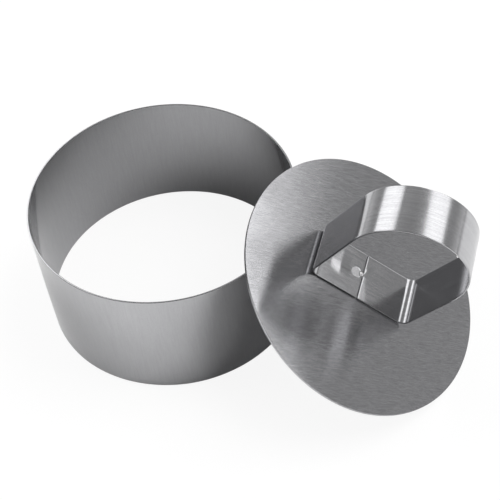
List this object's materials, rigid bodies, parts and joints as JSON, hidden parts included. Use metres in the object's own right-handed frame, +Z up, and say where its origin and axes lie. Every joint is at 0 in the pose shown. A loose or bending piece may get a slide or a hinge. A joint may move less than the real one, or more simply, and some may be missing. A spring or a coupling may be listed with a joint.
{
  "type": "food ring mold",
  "caption": "Open round food ring of thin rolled steel, with a loose flat pusher plate and D-shaped strip handle leaning on its rim.",
  "frame": {"origin": "on the table under the middle of the bounding box of the ring and the leaning pusher", "axes": "+Z up along the ring's axis; +X from the ring towards the leaning pusher's lower edge, so the pusher's plate rises towards -X"},
  "size_m": [0.1338, 0.0804, 0.0618],
  "materials": {
    "ring_sheet": "stainless sheet, satin, faint upright streaks on the outside",
    "plate_sheet": "stainless sheet, fine straight brushing",
    "handle_sheet": "stainless strip, fine brushing along its length",
    "weld_metal": "bare weld, slightly dull"
  },
  "bodies": {
    "ring": {"ring_band": "ring_sheet", "ring_seam_weld": "weld_metal"},
    "press": {"press_disc": "plate_sheet", "handle_strip": "handle_sheet", "handle_seam_tack": "weld_metal", "handle_spot_weld": "weld_metal"}
  },
  "joints": [
    {"name": "press_lift", "type": "slide", "parent": "ring", "child": "press", "axis": [0, 0, 1], "range_m": [0, 0.06]}
  ]
}
